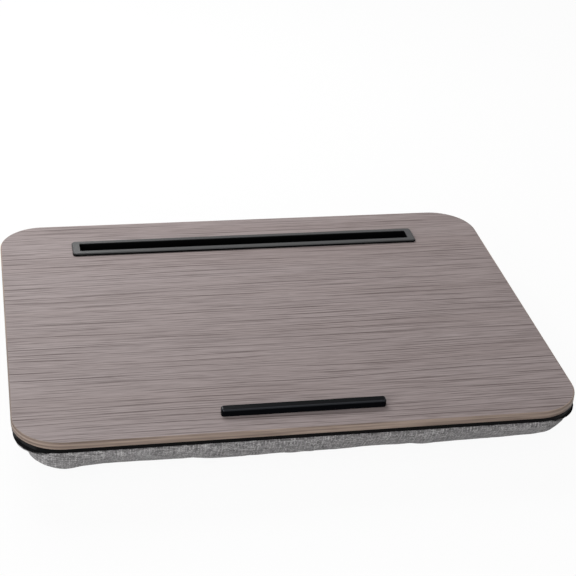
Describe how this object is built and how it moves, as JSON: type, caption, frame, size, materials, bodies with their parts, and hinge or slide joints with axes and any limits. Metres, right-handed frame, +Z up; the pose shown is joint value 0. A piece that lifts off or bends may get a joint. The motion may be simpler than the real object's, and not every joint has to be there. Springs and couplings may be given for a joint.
{
  "type": "lap desk with lift lid",
  "caption": "Lap desk: a wood-grain board with a tablet slot and a stop bar, hinged as a lid over a shallow storage tray set in a fabric cushion.",
  "frame": {"origin": "centre of the flat face on the cushion's underside that the desk rests on", "axes": "+Z up, +X to the right of the person at the desk, +Y away from them, towards the hinges"},
  "size_m": [0.44, 0.346, 0.054],
  "materials": {
    "fibreboard": "raw brown fibreboard",
    "wood_laminate": "satin grey-brown wood-grain laminate",
    "black_backing": "matt black backing sheet",
    "brown_band": "satin grey-brown edge band",
    "black_plastic": "fine satin black",
    "bar_plastic": "satin black",
    "dark_screw": "blackened",
    "hinge_steel": "zinc plated",
    "bumper_rubber": "matt",
    "black_fabric": "matt black woven",
    "grey_fabric": "woven grey melange",
    "white_filling": "soft bead filling"
  },
  "bodies": {
    "base": {"storage_tray": "black_plastic", "lid_bumpers": "bumper_rubber", "tray_leaf_left": "hinge_steel", "tray_leaf_right": "hinge_steel", "tray_leaf_screws": "hinge_steel", "hinge_pin_left": "hinge_steel", "hinge_pin_right": "hinge_steel", "cushion_top_panel": "black_fabric", "cushion_cover": "grey_fabric", "cushion_filling": "white_filling"},
    "lid": {"board_core": "fibreboard", "top_laminate": "wood_laminate", "backing_sheet": "black_backing", "edge_band": "brown_band", "slot_insert": "black_plastic", "stop_bar": "bar_plastic", "stop_bar_screws": "dark_screw", "lid_leaf_left": "hinge_steel", "lid_leaf_right": "hinge_steel", "lid_leaf_screws": "hinge_steel"}
  },
  "joints": [
    {"name": "lid_hinge", "type": "hinge", "parent": "base", "child": "lid", "pos_m": [0, 0.1698, 0.04175], "axis": [-1, 0, 0], "range_deg": [0, 105]}
  ]
}
